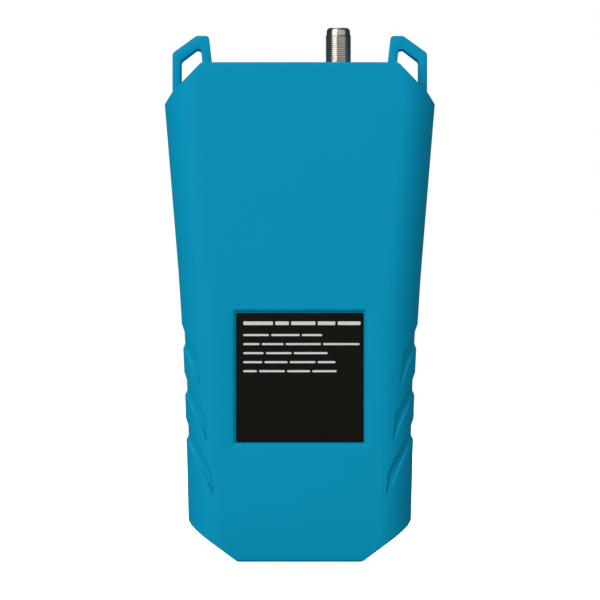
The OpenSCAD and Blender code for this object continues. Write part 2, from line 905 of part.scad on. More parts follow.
rear_shell();
front_shell();
rating_label();
case_screws();
front_overlay();
display_lens();
display_gasket();
display_panel();
display_backlight();
display_connector();
display_cable();
main_board();
board_screws();
processor_chip();
memory_chips();
power_inductors();
board_capacitors();
buzzer();
tuner_can();
tuner_lid();
antenna_socket();
socket_insulator();
socket_contact();
power_jack();
jack_pin();
switch_body();
switch_slider();
battery_cells();
battery_wrap();
battery_pad();
battery_board();
battery_lead();
battery_socket();
keypad_mat();
light_pipes();
indicator_leds();
key_f1();
key_f2();
key_f3();
key_f4();
key_up();
key_down();
key_left();
key_right();
key_ok();
key_menu();
key_exit();
key_1();
key_2();
key_3();
key_4();
key_5();
key_6();
key_7();
key_8();
key_9();
key_star();
key_0();
key_hash();
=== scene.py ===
import json
import math

import bmesh
import bpy
from mathutils import Matrix, Vector


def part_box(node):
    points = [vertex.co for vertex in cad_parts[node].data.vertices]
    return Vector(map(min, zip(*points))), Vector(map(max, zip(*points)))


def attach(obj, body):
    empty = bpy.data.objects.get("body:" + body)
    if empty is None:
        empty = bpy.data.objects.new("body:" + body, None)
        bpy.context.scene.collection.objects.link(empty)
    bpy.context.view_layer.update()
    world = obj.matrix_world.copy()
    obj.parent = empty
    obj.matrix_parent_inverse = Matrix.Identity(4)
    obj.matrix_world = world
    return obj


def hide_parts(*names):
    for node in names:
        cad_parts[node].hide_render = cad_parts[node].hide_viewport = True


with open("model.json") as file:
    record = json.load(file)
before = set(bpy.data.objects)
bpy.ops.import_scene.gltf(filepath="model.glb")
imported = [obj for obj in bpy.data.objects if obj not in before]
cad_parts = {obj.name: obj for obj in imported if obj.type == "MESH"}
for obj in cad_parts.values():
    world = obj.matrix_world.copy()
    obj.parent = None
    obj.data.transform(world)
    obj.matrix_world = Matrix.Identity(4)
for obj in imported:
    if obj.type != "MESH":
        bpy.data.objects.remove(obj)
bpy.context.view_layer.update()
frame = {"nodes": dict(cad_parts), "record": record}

scene = bpy.context.scene
nodes = frame["nodes"]
mm = 0.001  # pieces are drawn in millimetres and turned to metres as they are added


def boxMm(node):
    low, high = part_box(node)
    return low / mm, high / mm


rearLow, rearHigh = boxMm("rear_shell")
frontHigh = boxMm("front_shell")[1]
backY, partY, frontY = rearLow.y, rearHigh.y, frontHigh.y
caseTop, headHalf = frontHigh.z, frontHigh.x
floorY, faceY = (corner.y for corner in boxMm("front_overlay"))   # back and front of the printed sheet
print("frame loaded:", len(nodes), "nodes")


def linear(hexColour):
    channels = [int(hexColour[i:i + 2], 16) / 255 for i in (1, 3, 5)]
    return [c / 12.92 if c <= 0.04045 else ((c + 0.055) / 1.055) ** 2.4 for c in channels] + [1.0]


# adds a node; a socket takes a value, or another node's output as a link
def addNode(tree, kind, settings=None, sockets=None):
    node = tree.nodes.new(kind)
    for name, value in (settings or {}).items():
        setattr(node, name, value)
    for name, value in (sockets or {}).items():
        if isinstance(value, bpy.types.NodeSocket):
            tree.links.new(value, node.inputs[name])
        else:
            node.inputs[name].default_value = value
    return node


# a surface with two close colours in patches, and a finer grain in its gloss and relief; sizes in mm
def grained(name, colours, rough, grain, relief, patch=15, stretch=(1, 1, 1), **sockets):
    material = bpy.data.materials.new(name)
    material.use_nodes = True
    tree = material.node_tree
    tree.nodes.clear()
    place = addNode(tree, "ShaderNodeTexCoord").outputs["Object"]
    drawn = addNode(tree, "ShaderNodeMapping", None, {"Vector": place, "Scale": stretch}).outputs[0]
    patches = addNode(tree, "ShaderNodeTexNoise", None,
                      {"Vector": drawn, "Scale": 1 / (patch * mm), "Detail": 2})
    grains = addNode(tree, "ShaderNodeTexNoise", None,
                     {"Vector": drawn, "Scale": 1 / (grain * mm), "Detail": 2})
    colour = addNode(tree, "ShaderNodeMix", {"data_type": "RGBA"},
                     {0: patches.outputs[0], 6: linear(colours[0]), 7: linear(colours[1])})
    gloss = addNode(tree, "ShaderNodeMapRange", None,
                    {"Value": grains.outputs[0], "From Min": 0.3, "From Max": 0.7,
                     "To Min": rough[0], "To Max": rough[1]})
    bump = addNode(tree, "ShaderNodeBump", None,
                   {"Height": grains.outputs[0], "Distance": relief * mm})
    shader = addNode(tree, "ShaderNodeBsdfPrincipled", None,
                     {"Base Color": colour.outputs[2], "Roughness": gloss.outputs[0],
                      "Normal": bump.outputs[0], **sockets})
    addNode(tree, "ShaderNodeOutputMaterial", None, {"Surface": shader.outputs[0]})
    return material


# ABS, moulded against a fine spark-eroded tool: a dull, even satin; the grain is drawn coarser than
# its real 0.1 mm so that it shows
mouldedBlueAbs = grained("mouldedBlueAbs", ("#0090b7", "#008db3"), (0.52, 0.64), 0.45, 0.006, 40,
                         **{"IOR": 1.5, "Specular IOR Level": 0.06})
# polyester film, printed black: nearly flat, with a soft sheen
printedLabelFilm = grained("printedLabelFilm", ("#0f100a", "#12130e"), (0.34, 0.44), 0.5, 0.003, 12,
                           **{"Specular IOR Level": 0.06})
# screen ink: chalky, slightly uneven
screenInk = grained("screenInk", ("#d3d4d0", "#c9cac6"), (0.55, 0.7), 0.3, 0.002, 2)
# nickel on brass, plated bright: warm grey mirror with faint turning marks along the rings
platedNickel = grained("platedNickel", ("#cfc6ba", "#bdb4a8"), (0.16, 0.28), 0.35, 0.002, 3,
                       stretch=(0.3, 0.3, 3), Metallic=1.0)
# PTFE, turned: waxy white
turnedPtfe = grained("turnedPtfe", ("#eeeae0", "#e4dfd3"), (0.4, 0.5), 0.4, 0.002, 3)
# phosphor bronze, gold flashed: small bright contact
flashedBronze = grained("flashedBronze", ("#d9b56a", "#c79f55"), (0.2, 0.3), 0.3, 0.001, 2, Metallic=1.0)
# polycarbonate film, satin printed: dark grey front sheet with a fine tooth
satinOverlayFilm = grained("satinOverlayFilm", ("#2b2e31", "#272a2d"), (0.42, 0.52), 0.4, 0.004, 20,
                           **{"Specular IOR Level": 0.25})
# silicone rubber, moulded and lacquered: soft grey keys
lacqueredSiliconeGrey = grained("lacqueredSiliconeGrey", ("#a4a9ab", "#9ca1a3"), (0.42, 0.52), 0.3, 0.002,
                                4, **{"Specular IOR Level": 0.3})
lacqueredSiliconeBlue = grained("lacqueredSiliconeBlue", ("#0b6f95", "#0a698e"), (0.42, 0.52), 0.3, 0.002,
                                4, **{"Specular IOR Level": 0.2})
# acrylic, cast and polished: clear, with a light smoke tint
polishedAcrylic = grained("polishedAcrylic", ("#dfe5e6", "#d8dfe0"), (0.02, 0.04), 4, 0.0, 20,
                          **{"Transmission Weight": 1.0, "IOR": 1.49})
# acrylic, moulded as light pipes: milky clear
milkyAcrylic = grained("milkyAcrylic", ("#e8efec", "#dfe8e4"), (0.12, 0.2), 0.5, 0.001, 3,
                       **{"Transmission Weight": 0.6, "IOR": 1.49})
# ink behind the lens: deep black
maskInk = grained("maskInk", ("#0b0c0d", "#0d0e0f"), (0.3, 0.36), 0.5, 0.001, 8)
# liquid crystal glass, switched off: blue-black with a soft polariser sheen
switchedOffGlass = grained("switchedOffGlass", ("#2c353c", "#272f35"), (0.14, 0.2), 0.4, 0.001, 18)
# ABS, moulded plain: black and red small parts
mouldedBlackAbs = grained("mouldedBlackAbs", ("#1c1c1d", "#191a1a"), (0.4, 0.5), 0.3, 0.004, 6)
mouldedRedAbs = grained("mouldedRedAbs", ("#c23a2c", "#b83527"), (0.38, 0.48), 0.3, 0.003, 4)
print("case and front materials done")

# what lies inside, by the record's slot: colours, roughness, grain and relief in mm, patch in mm, metal
innerFinishes = {
    "zinc_steel": ("zincPlatedSteel", ("#c7c7c2", "#b9b9b4"), (0.25, 0.38), 0.3, 0.002, 2, 1.0),
    "foam": ("closedCellFoam", ("#1f1f1f", "#262626"), (0.85, 0.95), 0.5, 0.05, 3, 0.0),
    "white_plastic": ("mouldedNylon", ("#e3e0d2", "#d8d5c6"), (0.4, 0.55), 0.4, 0.004, 5, 0.0),
    "flex_film": ("polyimideFilm", ("#b5761c", "#a86c16"), (0.2, 0.3), 0.6, 0.002, 4, 0.0),
    "circuit_board": ("solderResist", ("#0e5a36", "#0b4a2c"), (0.22, 0.34), 0.8, 0.01, 2, 0.0),
    "chip_epoxy": ("mouldedEpoxy", ("#1b1b1c", "#202021"), (0.5, 0.65), 0.2, 0.004, 2, 0.0),
    "ferrite": ("groundFerrite", ("#3f4043", "#37383b"), (0.5, 0.7), 0.2, 0.006, 1, 0.0),
    "capacitor_can": ("drawnAluminium", ("#c9cacc", "#bcbdbf"), (0.2, 0.32), 0.3, 0.002, 3, 1.0),
    "tinned_steel": ("tinPlatedSteel", ("#cacac6", "#bdbdb8"), (0.22, 0.36), 0.5, 0.003, 6, 1.0),
    "cell_steel": ("nickelPlatedSteel", ("#bdbdbb", "#b0b0ae"), (0.2, 0.3), 0.5, 0.002, 8, 1.0),
    "shrink_film": ("shrunkPvcFilm", ("#1a4f9e", "#164590"), (0.18, 0.3), 1.5, 0.02, 6, 0.0),
    "lead_rubber": ("extrudedPvcJacket", ("#1d1d1e", "#232324"), (0.45, 0.6), 0.4, 0.006, 3, 0.0),
    "silicone": ("mouldedSilicone", ("#5a5c5f", "#515356"), (0.5, 0.62), 0.4, 0.004, 5, 0.0),
}
shownFinishes = {
    "blue_abs": mouldedBlueAbs, "label_film": printedLabelFilm, "overlay_film": satinOverlayFilm,
    "tinted_acrylic": polishedAcrylic, "display_glass": switchedOffGlass, "nickel": platedNickel,
    "brass_contact": flashedBronze, "black_plastic": mouldedBlackAbs, "clear_acrylic": milkyAcrylic,
    "key_grey": lacqueredSiliconeGrey, "key_blue": lacqueredSiliconeBlue,
}
for slot, (name, colours, rough, grain, relief, patch, metallic) in innerFinishes.items():
    shownFinishes[slot] = grained(name, colours, rough, grain, relief, patch, Metallic=metallic)
nodeFinishes = {"socket_insulator": turnedPtfe, "switch_slider": mouldedRedAbs}
for subpart in frame["record"]["subparts"]:
    node = nodes[subpart["node"]]
    finish = nodeFinishes.get(subpart["node"], shownFinishes[subpart["material_slot"]])
    node.data.materials.clear()
    node.data.materials.append(finish)
print("materials on the CAD nodes done")


# faces between rings of points; closed joins each ring's ends, wrap joins the last ring to the first
def bridge(bm, rings, closed=True, wrap=False, material=0):
    rows = [[bm.verts.new(p) for p in ring] for ring in rings]
    count = len(rows[0])
    faces = []
    for lower, upper in zip(rows, rows[1:] + (rows[:1] if wrap else [])):
        for i in range(count if closed else count - 1):
            j = (i + 1) % count
            faces.append(bm.faces.new((lower[i], lower[j], upper[j], upper[i])))
    if not wrap:
        faces.append(bm.faces.new(rows[0][::-1]))
        faces.append(bm.faces.new(rows[-1]))
    for face in faces:
        face.material_index = material
    return rows, faces


def roundedRect(x, z, w, h, r, steps=5):
    points = []
    for k, (sx, sz) in enumerate(((1, 1), (-1, 1), (-1, -1), (1, -1))):
        cornerX, cornerZ = x + sx * (w / 2 - r), z + sz * (h / 2 - r)
        for i in range(steps + 1):
            a = math.radians(90 * (k + i / steps))
            points.append((cornerX + r * math.cos(a), cornerZ + r * math.sin(a)))
    return points


def circle(x, y, r, steps=48):
    turns = [2 * math.pi * i / steps for i in range(steps)]
    return [(x + r * math.cos(a), y + r * math.sin(a)) for a in turns]


def atY(points, y):
    return [(p[0], y, p[1]) for p in points]


def atZ(points, z):
    return [(p[0], p[1], z) for p in points]


# bends a line of (x, z, radius) corners round its inner corners
def roundCorners(corners):
    steps, share = 4, 0.48   # parts of a bend, and the most of a side that it takes
    points = [Vector(corners[0][:2])]
    for before, here, after in zip(corners, corners[1:], corners[2:]):
        a, b, c = (Vector(p[:2]) for p in (before, here, after))
        back, ahead = a - b, c - b
        reach = here[2] / math.tan(back.angle(ahead) / 2)
        reach = min(reach, share * back.length, share * ahead.length)
        toBack, toAhead = back.normalized() * reach, ahead.normalized() * reach
        for k in range(steps + 1):
            t = k / steps
            points.append(b + toBack * (1 - t) ** 2 + toAhead * t ** 2)
    points.append(Vector(corners[-1][:2]))
    return points


def meshObject(name, bm):
    bmesh.ops.recalc_face_normals(bm, faces=bm.faces)
    bmesh.ops.scale(bm, vec=(mm, mm, mm), verts=bm.verts)
    mesh = bpy.data.meshes.new(name)
    bm.to_mesh(mesh)
    bm.free()
    piece = bpy.data.objects.new(name, mesh)
    scene.collection.objects.link(piece)
    return piece


# cuts one closed piece from another, or joins it on, and drops the tool
def combine(piece, tool, operation="DIFFERENCE"):
    step = piece.modifiers.new("combine", "BOOLEAN")
    step.object = tool
    step.operation = operation
    step.solver = "EXACT"
    bpy.context.view_layer.update()
    made = bpy.data.meshes.new_from_object(piece.evaluated_get(bpy.context.evaluated_depsgraph_get()))
    piece.modifiers.remove(step)
    piece.data = made
    bpy.data.objects.remove(tool)


def addPiece(piece, materials, body="case", replaces=(), sharp=32):
    for material in materials:
        piece.data.materials.append(material)
    piece.data.shade_smooth()
    piece.data.set_sharp_from_angle(angle=math.radians(sharp))
    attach(piece, body)
    if replaces:
        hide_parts(*replaces)


caseShape = {
    # half width, height and rounding of the outline's corners, from the base to the top edge
    "corners": [(23.3, 0, 0), (35.75, 9.15, 9), (38.8, 11.75, 6), (40.4, 13.35, 3), (41.6, 15.25, 1.5),
                (42.1, 34, 900), (42.7, 58, 900), (43.35, 76, 900), (45.1, 105, 900),
                (headHalf, 170.5, 0.5), (47.8, 174.6, 2), (36.7, caseTop, 0)],
    "sides": (15.1, 170.5),   # heights between which the outline is a side, not a corner slope
    "wall": 2.6,
    "edgeBreak": 0.8,         # rounding of the base and the top edge
    "sideBreak": 0.5,         # share of it that the sides are drawn in
    "slopeEdge": 0.7,         # rounding where the corner slopes cut the far edge
    "leastEdge": 0.3,         # and its least reach elsewhere
    "groove": 0.3,            # bevel of both shells at the parting line
    "ringStep": 6, "cornerStep": 1.5,     # greatest distance between rings of the mesh
}
# for each shell: radius of its far edge along the sides, its inner face, and for the mesh, stops from
# the parting line, steps round the far edge and steps across the far side
rearShape = {
    "radius": 12.5, "inside": backY + caseShape["wall"], "sideStops": [0, 0.3, 1.5, 2.4, 3.2, 4, 9],
    "arcSteps": 16, "farSteps": 6,
    "lean": 1.5, "leanHeight": 20,   # how far the back curves forward at the base, and from which height
}
frontShape = {
    "radius": 4, "inside": 17.4, "sideStops": [0, 0.3, 2, 4, 6, 8, 10, 12],
    "arcSteps": 8, "farSteps": 2,
}

outline = roundCorners(caseShape["corners"])


def lookup(value, table):
    for (a, ya), (b, yb) in zip(table, table[1:]):
        if value <= b:
            return ya + (yb - ya) * max(0, value - a) / (b - a)
    return table[-1][1]


outlineTable = [(p.y, p.x) for p in outline]
sideTable = [(p.y, p.x) for p in outline if caseShape["sides"][0] <= p.y <= caseShape["sides"][1]]
leanSteps = 12
leanTable = [(rearShape["leanHeight"] * k / leanSteps, rearShape["lean"] * (1 - k / leanSteps) ** 2)
             for k in range(leanSteps + 1)]


def halfWidth(z):
    return lookup(z, outlineTable)


# half width of the sides alone, as if they ran past the corner slopes
def sideHalf(z):
    return max(halfWidth(z), lookup(z, sideTable))


def insideHalf(z):
    slope = halfWidth(z + 0.5) - halfWidth(z - 0.5)   # over a height of 1
    return halfWidth(z) - caseShape["wall"] * math.hypot(1, slope)


def rearFar(z):
    return backY + lookup(z, leanTable)


# heights of the rings, with how far each is drawn in by the edge rounding
def ringLevels():
    edge = caseShape["edgeBreak"]
    levels = []
    for k in range(4):
        a = math.radians(30 * k)
        levels.append((edge * (1 - math.cos(a)), edge * (1 - math.sin(a))))
    heights = [p.y for p in outline if edge < p.y < caseTop - edge]
    heights = [edge] + heights + [caseTop - edge]
    for low, high in zip(heights, heights[1:]):
        side = caseShape["sides"][0] <= low and high <= caseShape["sides"][1]
        parts = max(1, math.ceil((high - low) / caseShape["ringStep" if side else "cornerStep"]))
        levels += [(low + (high - low) * k / parts, 0) for k in range(1, parts + 1)]
    levels += [(caseTop - z, inset) for z, inset in reversed(levels[:3])]
    return levels


# section across the case, open at the parting plane: +X side, far side, -X side; the far edge is
# rounded for sides at half width side, and cut off at half width w with a small rounding
def shellRing(w, side, far, radius, stops, bevel, arcSteps, farSteps):
    s = math.copysign(1, far - partY)
    middle = side - radius

    def depth(x):
        return radius - math.sqrt(max(0, radius ** 2 - max(0, x - middle) ** 2))

    turn = math.acos(min(1, max(0, (w - middle) / radius)))
    reach = max(caseShape["leastEdge"], caseShape["slopeEdge"] * math.tan(turn / 2))
    last = w - reach * math.sin(turn)
    right = [(w - bevel if stop == 0 else w, partY + s * stop) for stop in stops]
    for t in (0, 0.3, 0.65):   # along the small rounding
        down = depth(w) + (depth(last) - depth(w)) * t * t + reach * (1 - t) ** 2
        right.append((w - (w - last) * t * t, far - s * down))
    start = min(middle, last - radius / 2)
    sweep = math.asin(min(1, (last - start) / radius))
    for k in range(arcSteps + 1):
        x = start + radius * math.sin(sweep * (1 - k / arcSteps))
        right.append((x, far - s * depth(x)))
    span = right[-1][0]
    across = [(span - 2 * span * k / farSteps, far) for k in range(1, farSteps)]
    return right + across + [(-x, y) for x, y in reversed(right)]


# a shell with a wall, open at the parting plane; the faces of its outer surface are tagged
def shell(shape, far, side):
    bm = bmesh.new()
    outerTag = bm.faces.layers.int.new("outer")
    wall, radius = caseShape["wall"], shape["radius"]
    outer, inner = [], []
    s = math.copysign(1, shape["inside"] - partY)
    for z, inset in ringLevels():
        w = halfWidth(z) - caseShape["sideBreak"] * inset
        ring = shellRing(w, max(w, side(z)), far(z) - s * inset, radius, shape["sideStops"],
                         caseShape["groove"], shape["arcSteps"], shape["farSteps"])
        outer.append([(x, y, z) for x, y in ring])
        zIn = wall + z * (caseTop - 2 * wall) / caseTop
        insideFar = shape["inside"] + far(zIn) - far(caseTop / 2)
        w = insideHalf(zIn)
        ring = shellRing(w, max(w, side(zIn) - wall), insideFar, max(radius - wall, 1),
                         stops=[0], bevel=0, arcSteps=4, farSteps=1)
        inner.append([(x, y, zIn) for x, y in ring])
    outerRows, outerFaces = bridge(bm, outer, closed=False)
    for face in outerFaces[:-2]:
        face[outerTag] = 1
    innerRows = bridge(bm, inner, closed=False)[0]
    for end in (0, -1):
        for (a, b), (c, d) in zip(zip(outerRows, outerRows[1:]), zip(innerRows, innerRows[1:])):
            bm.faces.new((a[end], b[end], d[end], c[end]))
        bm.faces.new((outerRows[end][0], outerRows[end][-1], innerRows[end][-1], innerRows[end][0]))
    return bm, outerTag


# direction into the rear shell from a point of its outer surface
def inward(p):
    w, r, far = halfWidth(p.z), rearShape["radius"], rearFar(p.z)
    side = math.copysign(1, p.x)
    if p.y > far + r:
        return Vector((-side, 0, 0))
    if abs(p.x) < w - r:
        return Vector((0, 1, 0))
    return Vector((side * (w - r) - p.x, far + r - p.y, 0)).normalized()


# how far down a hollow's slope, in slope widths: the nearest side counts, and of lines that share a
# side the farther
def insideBy(x, z, sides):
    return min(max(slopePart(Vector((x, z)), *line) for line in lines) for lines in sides)


def slopePart(p, a, b, widthA, widthB):
    along = b - a
    t = min(max((p - a).dot(along) / along.length_squared, 0), 1)
    return inwardOf(a, b).dot(p - a) / (widthA + (widthB - widthA) * t)


# the hollow lies to the right of a to b
def inwardOf(a, b):
    along = (b - a).normalized()
    return Vector((along.y, -along.x))


# one border of a hollow, with its slope's width at both ends
def borderLine(a, b, widthA, widthB=None):
    return Vector(a), Vector(b), widthA, widthA if widthB is None else widthB


# 0 to 1 over a slope, rounded over its lip and its foot
def slopeProfile(t, lip, foot):
    t = min(max(t, 0), 1)
    steepness = 2 / (2 - lip - foot)
    if t < lip:
        return steepness * t * t / (2 * lip)
    if t > 1 - foot:
        return 1 - steepness * (1 - t) ** 2 / (2 * foot)
    return steepness * (t - lip / 2)


# presses a hollow into the outer faces: they are split along the slope's steps, then moved inward
def pressIn(bm, outerTag, sides, corners, hollow, mirror=1):
    depth, lip, foot = hollow["depth"], hollow["lip"], hollow["foot"]
    margin = 2
    xs, zs = [p[0] for p in corners], [p[1] for p in corners]

    def near(face):
        c = face.calc_center_median()
        reach = max((v.co - c).length for v in face.verts)
        return (face[outerTag] and c.y < hollow["endY"]
                and min(xs) - margin - reach < mirror * c.x < max(xs) + margin + reach
                and min(zs) - margin - reach < c.z < max(zs) + margin + reach)

    for lines in sides:
        for a, b, widthA, widthB in lines:
            n = inwardOf(a, b)
            for part in (0, lip / 2, lip, 1 - foot, 1 - foot / 2, 1):
                faces = [f for f in bm.faces if near(f)]
                geometry = set(faces)
                for face in faces:
                    geometry.update(face.edges)
                    geometry.update(face.verts)
                start, end = a + n * part * widthA, b + n * part * widthB
                across = inwardOf(start, end)
                bmesh.ops.bisect_plane(bm, geom=list(geometry), dist=1e-4,
                                       plane_co=(mirror * start.x, 0, start.y),
                                       plane_no=(mirror * across.x, 0, across.y))
    outer = {vert for face in bm.faces if face[outerTag] for vert in face.verts}
    for vert in outer:
        x, z = mirror * vert.co.x, vert.co.z
        if x < min(xs) - margin or not min(zs) - margin < z < max(zs) + margin:
            continue
        inside = insideBy(x, z, sides)
        if inside > 1e-5:
            ending = (hollow["endY"] - vert.co.y) / hollow["endSlope"]
            fade = slopeProfile(ending, hollow["endRound"], hollow["endRound"])
            vert.co += inward(vert.co) * depth * slopeProfile(inside, lip, foot) * fade


scallopShape = {
    "depth": 0.85, "lip": 0.2, "foot": 0.2,   # rounded shares of the walls
    "slope": 0.65, "topSlope": 0.5,   # widths of its walls
    "lowSlope": (0.85, 0.3),          # of the lower one, at the side and at the tip
    "endY": partY + 15.5, "endSlope": 3.5, "endRound": 0.3,   # where it runs out on the front shell
    "count": 3,
    "tip": (37.1, 65.2), "tipStep": (-2.6, -20.55),
    "knee": (38.45, 76.9), "kneeStep": (-2.8, -21.9),
    "bend": (41.7, 82.2), "bendStep": (-0.45, -16.8),
    "top": (43.4, 86.8), "topStep": (-0.5, -16.85),
    "low": (43.0, 77.9), "lowStep": (-0.5, -16.75),
}
recessShape = {
    "depth": 1.1, "slope": 1.2, "lip": 0.3, "foot": 0.08,
    "endY": partY, "endSlope": 1, "endRound": 0.3,
    "gap": 0.15,   # round the label, at the recess floor
}
labelLow, labelHigh = boxMm("rating_label")


def pressScallops(bm, outerTag, shape):
    for i in range(shape["count"]):
        tip, knee, bend, top, low = (
            (shape[key][0] + i * shape[key + "Step"][0], shape[key][1] + i * shape[key + "Step"][1])
            for key in ("tip", "knee", "bend", "top", "low"))
        wide = shape["slope"]
        sides = [[borderLine(tip, knee, wide)],
                 [borderLine(knee, bend, wide), borderLine(bend, top, shape["topSlope"])],
                 [borderLine(low, tip, *shape["lowSlope"])]]
        for mirror in (1, -1):
            pressIn(bm, outerTag, sides, (tip, knee, bend, top, low), shape, mirror)


def rearShell():
    bm, outerTag = shell(rearShape, rearFar, sideHalf)
    # on this half the scallops don't run out
    pressScallops(bm, outerTag, dict(scallopShape, endY=frontY + scallopShape["endSlope"]))
    edge = recessShape["slope"] + recessShape["gap"]
    x, z0, z1 = labelHigh.x + edge, labelLow.z - edge, labelHigh.z + edge
    corners = [(-x, z0), (-x, z1), (x, z1), (x, z0)]
    sides = [[borderLine(a, b, recessShape["slope"])]
             for a, b in zip(corners, corners[1:] + corners[:1])]
    pressIn(bm, outerTag, sides, corners, recessShape)
    return meshObject("rearShell", bm)


eyeShape = {
    # matching corners of the outer and the inner side, from the slope up and over to the top edge
    "outer": [(47.8, 171.8, 0), (47.8, 190.1, 2), (38.8, 196.6, 1.4), (34.15, 196.6, 1.4),
              (32.75, 184.4, 0)],
    "inner": [(44.7, 175, 0), (44.7, 187.0, 1.4), (38.6, 191.5, 0.8), (36.95, 191.2, 0.9),
              (36.3, 184.4, 0)],
    # the hole narrows towards the parting line, as the tool's core does
    "innerFront": [(44.35, 175, 0), (44.35, 186.5, 1.4), (38.5, 191.0, 0.8), (37.05, 190.7, 0.9),
                   (36.4, 184.4, 0)],
    "deep": 6,
    "edge": 0.4, "bulge": 0.3,   # its rounding, and where the middle of that lies, as a share
}


# a flat band that leaves the corner slope, runs round the hole and comes down on the top edge
def strapEye(side):
    bm = bmesh.new()
    outer, inner, innerFront = (roundCorners(eyeShape[key]) for key in ("outer", "inner", "innerFront"))
    y0, y1 = partY - eyeShape["deep"], partY
    e, bulge = eyeShape["edge"], eyeShape["bulge"]
    rings = []
    for a, b, c in zip(outer, inner, innerFront):
        across = (b - a).normalized()
        spots = [(a + across * e, y0), (a + across * e * bulge, y0 + e * bulge), (a, y0 + e),
                 (a, y1 - e), (a + across * e, y1), (c - across * e, y1), (c, y1 - e), (b, y0 + e),
                 (b - across * e * bulge, y0 + e * bulge), (b - across * e, y0)]
        rings.append([(side * p.x, y, p.y) for p, y in spots])
    bridge(bm, rings)
    return meshObject("strapEye", bm)


topShape = {
    "socketHole": 5.11, "jackHole": 4.2, "slot": (8.7, 3.5), "slotCorner": 0.5,
    "below": 4, "above": 2,   # how far the cuts reach from the top edge
}


# the openings in the top edge, half in each shell
def topOpenings():
    bm = bmesh.new()
    z0, z1 = caseTop - topShape["below"], caseTop + topShape["above"]
    socketX, jackX, slotX = (sum(corner.x for corner in boxMm(node)) / 2
                             for node in ("socket_contact", "power_jack", "switch_body"))
    holes = [circle(socketX, partY, topShape["socketHole"]), circle(jackX, partY, topShape["jackHole"]),
             roundedRect(slotX, partY, *topShape["slot"], topShape["slotCorner"])]
    for points in holes:
        bridge(bm, [atZ(points, z0), atZ(points, z1)])
    return meshObject("topOpenings", bm)


rear = rearShell()
for side in (1, -1):
    combine(rear, strapEye(side), "UNION")
combine(rear, topOpenings())
addPiece(rear, [mouldedBlueAbs], replaces=["rear_shell"])
print("rear shell done:", len(rear.data.polygons), "faces")

keyNames = ["f1", "f2", "f3", "f4", "up", "down", "left", "right", "ok", "menu", "exit",
            "1", "2", "3", "4", "5", "6", "7", "8", "9", "star", "0", "hash"]
keyShape = {
    "gap": 0.3, "corner": 1.3, "leastCorner": 0.2, "cornerSteps": 6,
    "lip": 1.0, "lipHeight": 1, "lipBreak": 0.15,   # the rim behind the sheet that holds the key in
    "round": 0.6,      # of the top edge
    "crown": 0.12,     # height of the middle over the edge
    "legendProud": 0.03, "legendDeep": 0.1,
    "textSize": 4.3, "bold": 0.07, "spacing": 1.06,   # of the letters
}


# middle and size of a key's opening
def keyOpening(name):
    low, high = boxMm("key_" + name)
    lip = 2 * keyShape["lip"]
    return (low.x + high.x) / 2, (low.z + high.z) / 2, high.x - low.x - lip, high.z - low.z - lip


def keyOutline(name, spread):
    x, z, w, h = keyOpening(name)
    if name == "ok":   # the round one
        return circle(x, z, w / 2 + spread)
    r = max(keyShape["corner"] + spread, keyShape["leastCorner"])
    return roundedRect(x, z, w + 2 * spread, h + 2 * spread, r, keyShape["cornerSteps"])


frontPanel = {
    "rim": 4.6, "leastRound": 1.5,             # width of the shell's rim, and least corner inside it
    "flare": 0.35, "flareHalf": (45, 85),      # the rim's bevel, and the panel's half size
    "filmGap": 0.2, "filmEdge": 0.12,
    "lensGap": 0.2, "lensCorner": 2.5, "lensEdge": 0.25,
    "window": (71, 54), "windowCorner": 0.8,   # the opening behind the lens
    "pipeGap": 0.1,
    "past": 1,                                 # how far a cut runs past what it cuts
}
lensLow, lensHigh = boxMm("display_lens")
lensZ = (lensLow.z + lensHigh.z) / 2
lensW, lensH = lensHigh.x - lensLow.x, lensHigh.z - lensLow.z
pipeLow, pipeHigh = boxMm("light_pipes")
pipeZ = (pipeLow.z + pipeHigh.z) / 2
pipeHead = pipeHigh.z - pipeLow.z
pipeRadius, pipeSteps, pipeCount = 1.5, 24, 4
pipeSpan = pipeHigh.x - pipeLow.x - pipeHead
pipeXs = [pipeLow.x + pipeHead / 2 + k * pipeSpan / (pipeCount - 1) for k in range(pipeCount)]


# the case's outline, moved inward
def insetOutline(d):
    corners = [Vector(c[:2]) for c in caseShape["corners"]]
    ring = [Vector((-corners[0].x, corners[0].y))] + corners + [Vector((-corners[-1].x, corners[-1].y))]
    moved = []
    for a, b, c, corner in zip(ring, ring[1:], ring[2:], caseShape["corners"]):
        u, v = (b - a).normalized(), (c - b).normalized()
        p = b + d * Vector((-u.y - v.y, u.x + v.x)) / (1 + u.dot(v))
        moved.append((p.x, p.y, max(corner[2], frontPanel["leastRound"])))
    right = roundCorners([(0, moved[0][1], 0)] + moved + [(0, moved[-1][1], 0)])[1:-1]
    return [(p.x, p.y) for p in right] + [(-p.x, p.y) for p in reversed(right)]


# a tool for the openings of the keys and the light pipes
def openingTools(y0, y1):
    bm = bmesh.new()
    holes = [keyOutline(name, 0) for name in keyNames]
    holes += [circle(x, pipeZ, pipeRadius + frontPanel["pipeGap"], pipeSteps) for x in pipeXs]
    for points in holes:
        bridge(bm, [atY(points, y0), atY(points, y1)])
    return meshObject("openings", bm)


# a tool for a pocket, which widens up to the front face where it has a flare
def plateTool(points, y0, y1, flare=0.0):
    bm = bmesh.new()
    rings = [atY(points, y0), atY(points, y1)]
    if flare:
        halfW, halfH = frontPanel["flareHalf"]
        middle = sum(p[1] for p in points) / len(points)
        wide = [(x * (1 + flare / halfW), (z - middle) * (1 + flare / halfH) + middle)
                for x, z in points]
        rings = [atY(points, y0), atY(points, frontY - flare), atY(wide, frontY), atY(wide, y1)]
    bridge(bm, rings)
    return meshObject("plate", bm)


def lensPocket():
    gap = frontPanel["lensGap"]
    return roundedRect(0, lensZ, lensW + 2 * gap, lensH + 2 * gap, frontPanel["lensCorner"] + gap)


